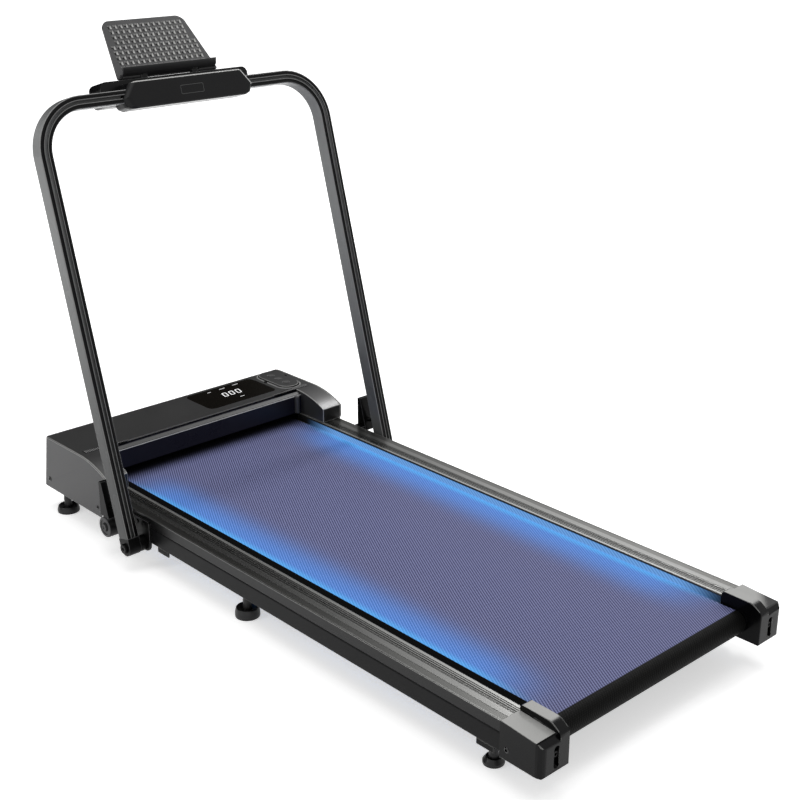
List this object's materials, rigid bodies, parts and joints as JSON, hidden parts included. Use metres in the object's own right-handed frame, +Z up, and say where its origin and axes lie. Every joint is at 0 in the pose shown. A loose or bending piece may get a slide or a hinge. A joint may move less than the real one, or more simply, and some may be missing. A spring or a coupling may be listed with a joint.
{
  "type": "folding_treadmill",
  "caption": "Low folding treadmill with a running belt between aluminium foot rails, a motor hood with a remote and display, and a fold-down handlebar with a tablet holder",
  "frame": {"origin": "Middle of the floor under the treadmill: the bounding box's bottom centre", "axes": "+Y toward the motor hood, along the belt; +X to the user's right; +Z up"},
  "size_m": [0.597, 1.2, 0.8404],
  "materials": {
    "tube_paint": "satin",
    "rail_metal": "brushed",
    "cap_plastic": "matte",
    "hood_plastic": "matte",
    "side_plastic": "satin",
    "fascia_plastic": "satin",
    "dark_plastic": "matte",
    "gloss_black": "gloss",
    "key_plastic": "satin",
    "belt_rubber": "matte",
    "foot_rubber": "matte",
    "cushion_rubber": "matte",
    "deck_wood": "matte",
    "steel": "satin",
    "black_steel": "satin",
    "post_metal": "satin",
    "board_green": "matte",
    "motor_paint": "satin",
    "wheel_plastic": "matte",
    "light_blue": "satin"
  },
  "bodies": {
    "base": {"side_tube_left": "tube_paint", "side_tube_right": "tube_paint", "cross_member_rear": "tube_paint", "cross_member_middle": "tube_paint", "cross_member_front": "tube_paint", "foot_rail_left": "rail_metal", "foot_rail_right": "rail_metal", "light_strip_left": "light_blue", "light_strip_right": "light_blue", "rear_cap_left": "cap_plastic", "rear_cap_right": "cap_plastic", "front_axle": "steel", "rear_axle": "steel", "remote_dock": "dark_plastic", "inlet_module": "dark_plastic", "running_belt": "belt_rubber", "deck_board": "deck_wood", "deck_cushion_left": "cushion_rubber", "deck_cushion_right": "cushion_rubber", "drive_belt": "foot_rubber", "hood_cover": "hood_plastic", "hood_side_left": "side_plastic", "hood_side_right": "side_plastic", "hood_fascia": "fascia_plastic", "hood_floor": "black_steel", "pivot_bolt_left": "black_steel", "pivot_bolt_right": "black_steel", "hinge_bracket_left": "black_steel", "hinge_bracket_right": "black_steel", "stop_bracket_left": "black_steel", "stop_bracket_right": "black_steel", "display_window": "gloss_black", "display_board": "board_green", "control_board": "board_green", "motor_case": "motor_paint"},
    "front_roller": {"front_roller": "steel", "roller_pulley": "dark_plastic"},
    "rear_roller": {"rear_roller": "steel"},
    "motor_shaft": {"motor_shaft": "steel"},
    "wheel_left": {"transport_wheel_left": "wheel_plastic"},
    "wheel_right": {"transport_wheel_right": "wheel_plastic"},
    "handlebar": {"handlebar_frame": "post_metal", "post_foot_left": "black_steel", "post_foot_right": "black_steel", "console_rear_shell": "dark_plastic", "console_front_shell": "dark_plastic"},
    "tablet_holder": {"tablet_holder": "dark_plastic"},
    "remote": {"remote_case": "hood_plastic"},
    "key_start": {"remote_key_start": "key_plastic"},
    "key_faster": {"remote_key_faster": "key_plastic"},
    "key_slower": {"remote_key_slower": "key_plastic"},
    "switch": {"power_switch": "gloss_black"},
    "bolt_left": {"tension_bolt_left": "steel"},
    "bolt_right": {"tension_bolt_right": "steel"},
    "foot_front_left": {"foot_front_left": "foot_rubber"},
    "foot_front_right": {"foot_front_right": "foot_rubber"},
    "foot_middle_left": {"foot_middle_left": "foot_rubber"},
    "foot_middle_right": {"foot_middle_right": "foot_rubber"},
    "foot_rear_left": {"foot_rear_left": "foot_rubber"},
    "foot_rear_right": {"foot_rear_right": "foot_rubber"}
  },
  "joints": [
    {"name": "handlebar_fold", "type": "hinge", "parent": "base", "child": "handlebar", "pos_m": [0, 0.277, 0.043], "axis": [1, 0, 0], "range_deg": [0, 98]},
    {"name": "tablet_tilt", "type": "hinge", "parent": "handlebar", "child": "tablet_holder", "pos_m": [0, 0.51276, 0.75611], "axis": [1, 0, 0], "range_deg": [-48, 20]},
    {"name": "front_roller_spin", "type": "hinge", "parent": "base", "child": "front_roller", "pos_m": [0, 0.478, 0.0672], "axis": [1, 0, 0], "continuous": true},
    {"name": "rear_roller_spin", "type": "hinge", "parent": "base", "child": "rear_roller", "pos_m": [0, -0.5605, 0.0672], "axis": [1, 0, 0], "continuous": true},
    {"name": "motor_spin", "type": "hinge", "parent": "base", "child": "motor_shaft", "pos_m": [0, 0.548, 0.085], "axis": [1, 0, 0], "continuous": true},
    {"name": "wheel_spin_left", "type": "hinge", "parent": "base", "child": "wheel_left", "pos_m": [-0.275, 0.353, 0.051], "axis": [1, 0, 0], "continuous": true},
    {"name": "wheel_spin_right", "type": "hinge", "parent": "base", "child": "wheel_right", "pos_m": [0.275, 0.353, 0.051], "axis": [1, 0, 0], "continuous": true},
    {"name": "remote_lift", "type": "slide", "parent": "base", "child": "remote", "axis": [0, 0, 1], "range_m": [0, 0.03]},
    {"name": "key_start", "type": "slide", "parent": "remote", "child": "key_start", "axis": [0, 0, -1], "range_m": [0, 0.0006], "stiffness_N_per_m": 600, "springref_m": -0.0004},
    {"name": "key_faster", "type": "slide", "parent": "remote", "child": "key_faster", "axis": [0, 0, -1], "range_m": [0, 0.0006], "stiffness_N_per_m": 600, "springref_m": -0.0004},
    {"name": "key_slower", "type": "slide", "parent": "remote", "child": "key_slower", "axis": [0, 0, -1], "range_m": [0, 0.0006], "stiffness_N_per_m": 600, "springref_m": -0.0004},
    {"name": "switch_rock", "type": "hinge", "parent": "base", "child": "switch", "pos_m": [0.154, 0.5945, 0.072], "axis": [1, 0, 0], "range_deg": [0, 16]},
    {"name": "tension_turn_left", "type": "hinge", "parent": "base", "child": "bolt_left", "pos_m": [-0.231, -0.594, 0.0672], "axis": [0, 1, 0], "continuous": true},
    {"name": "tension_turn_right", "type": "hinge", "parent": "base", "child": "bolt_right", "pos_m": [0.231, -0.594, 0.0672], "axis": [0, 1, 0], "continuous": true},
    {"name": "foot_turn_front_left", "type": "hinge", "parent": "base", "child": "foot_front_left", "pos_m": [-0.2428, 0.549, 0.02], "axis": [0, 0, 1], "continuous": true},
    {"name": "foot_turn_front_right", "type": "hinge", "parent": "base", "child": "foot_front_right", "pos_m": [0.2428, 0.549, 0.02], "axis": [0, 0, 1], "continuous": true},
    {"name": "foot_turn_middle_left", "type": "hinge", "parent": "base", "child": "foot_middle_left", "pos_m": [-0.2338, 0.0285, 0.02], "axis": [0, 0, 1], "continuous": true},
    {"name": "foot_turn_middle_right", "type": "hinge", "parent": "base", "child": "foot_middle_right", "pos_m": [0.2338, 0.0285, 0.02], "axis": [0, 0, 1], "continuous": true},
    {"name": "foot_turn_rear_left", "type": "hinge", "parent": "base", "child": "foot_rear_left", "pos_m": [-0.2296, -0.4938, 0.02], "axis": [0, 0, 1], "continuous": true},
    {"name": "foot_turn_rear_right", "type": "hinge", "parent": "base", "child": "foot_rear_right", "pos_m": [0.2296, -0.4938, 0.02], "axis": [0, 0, 1], "continuous": true}
  ],
  "couplings": [
    {"joint": "rear_roller_spin", "follows": "front_roller_spin", "ratio": 1},
    {"joint": "motor_spin", "follows": "front_roller_spin", "ratio": 2}
  ]
}
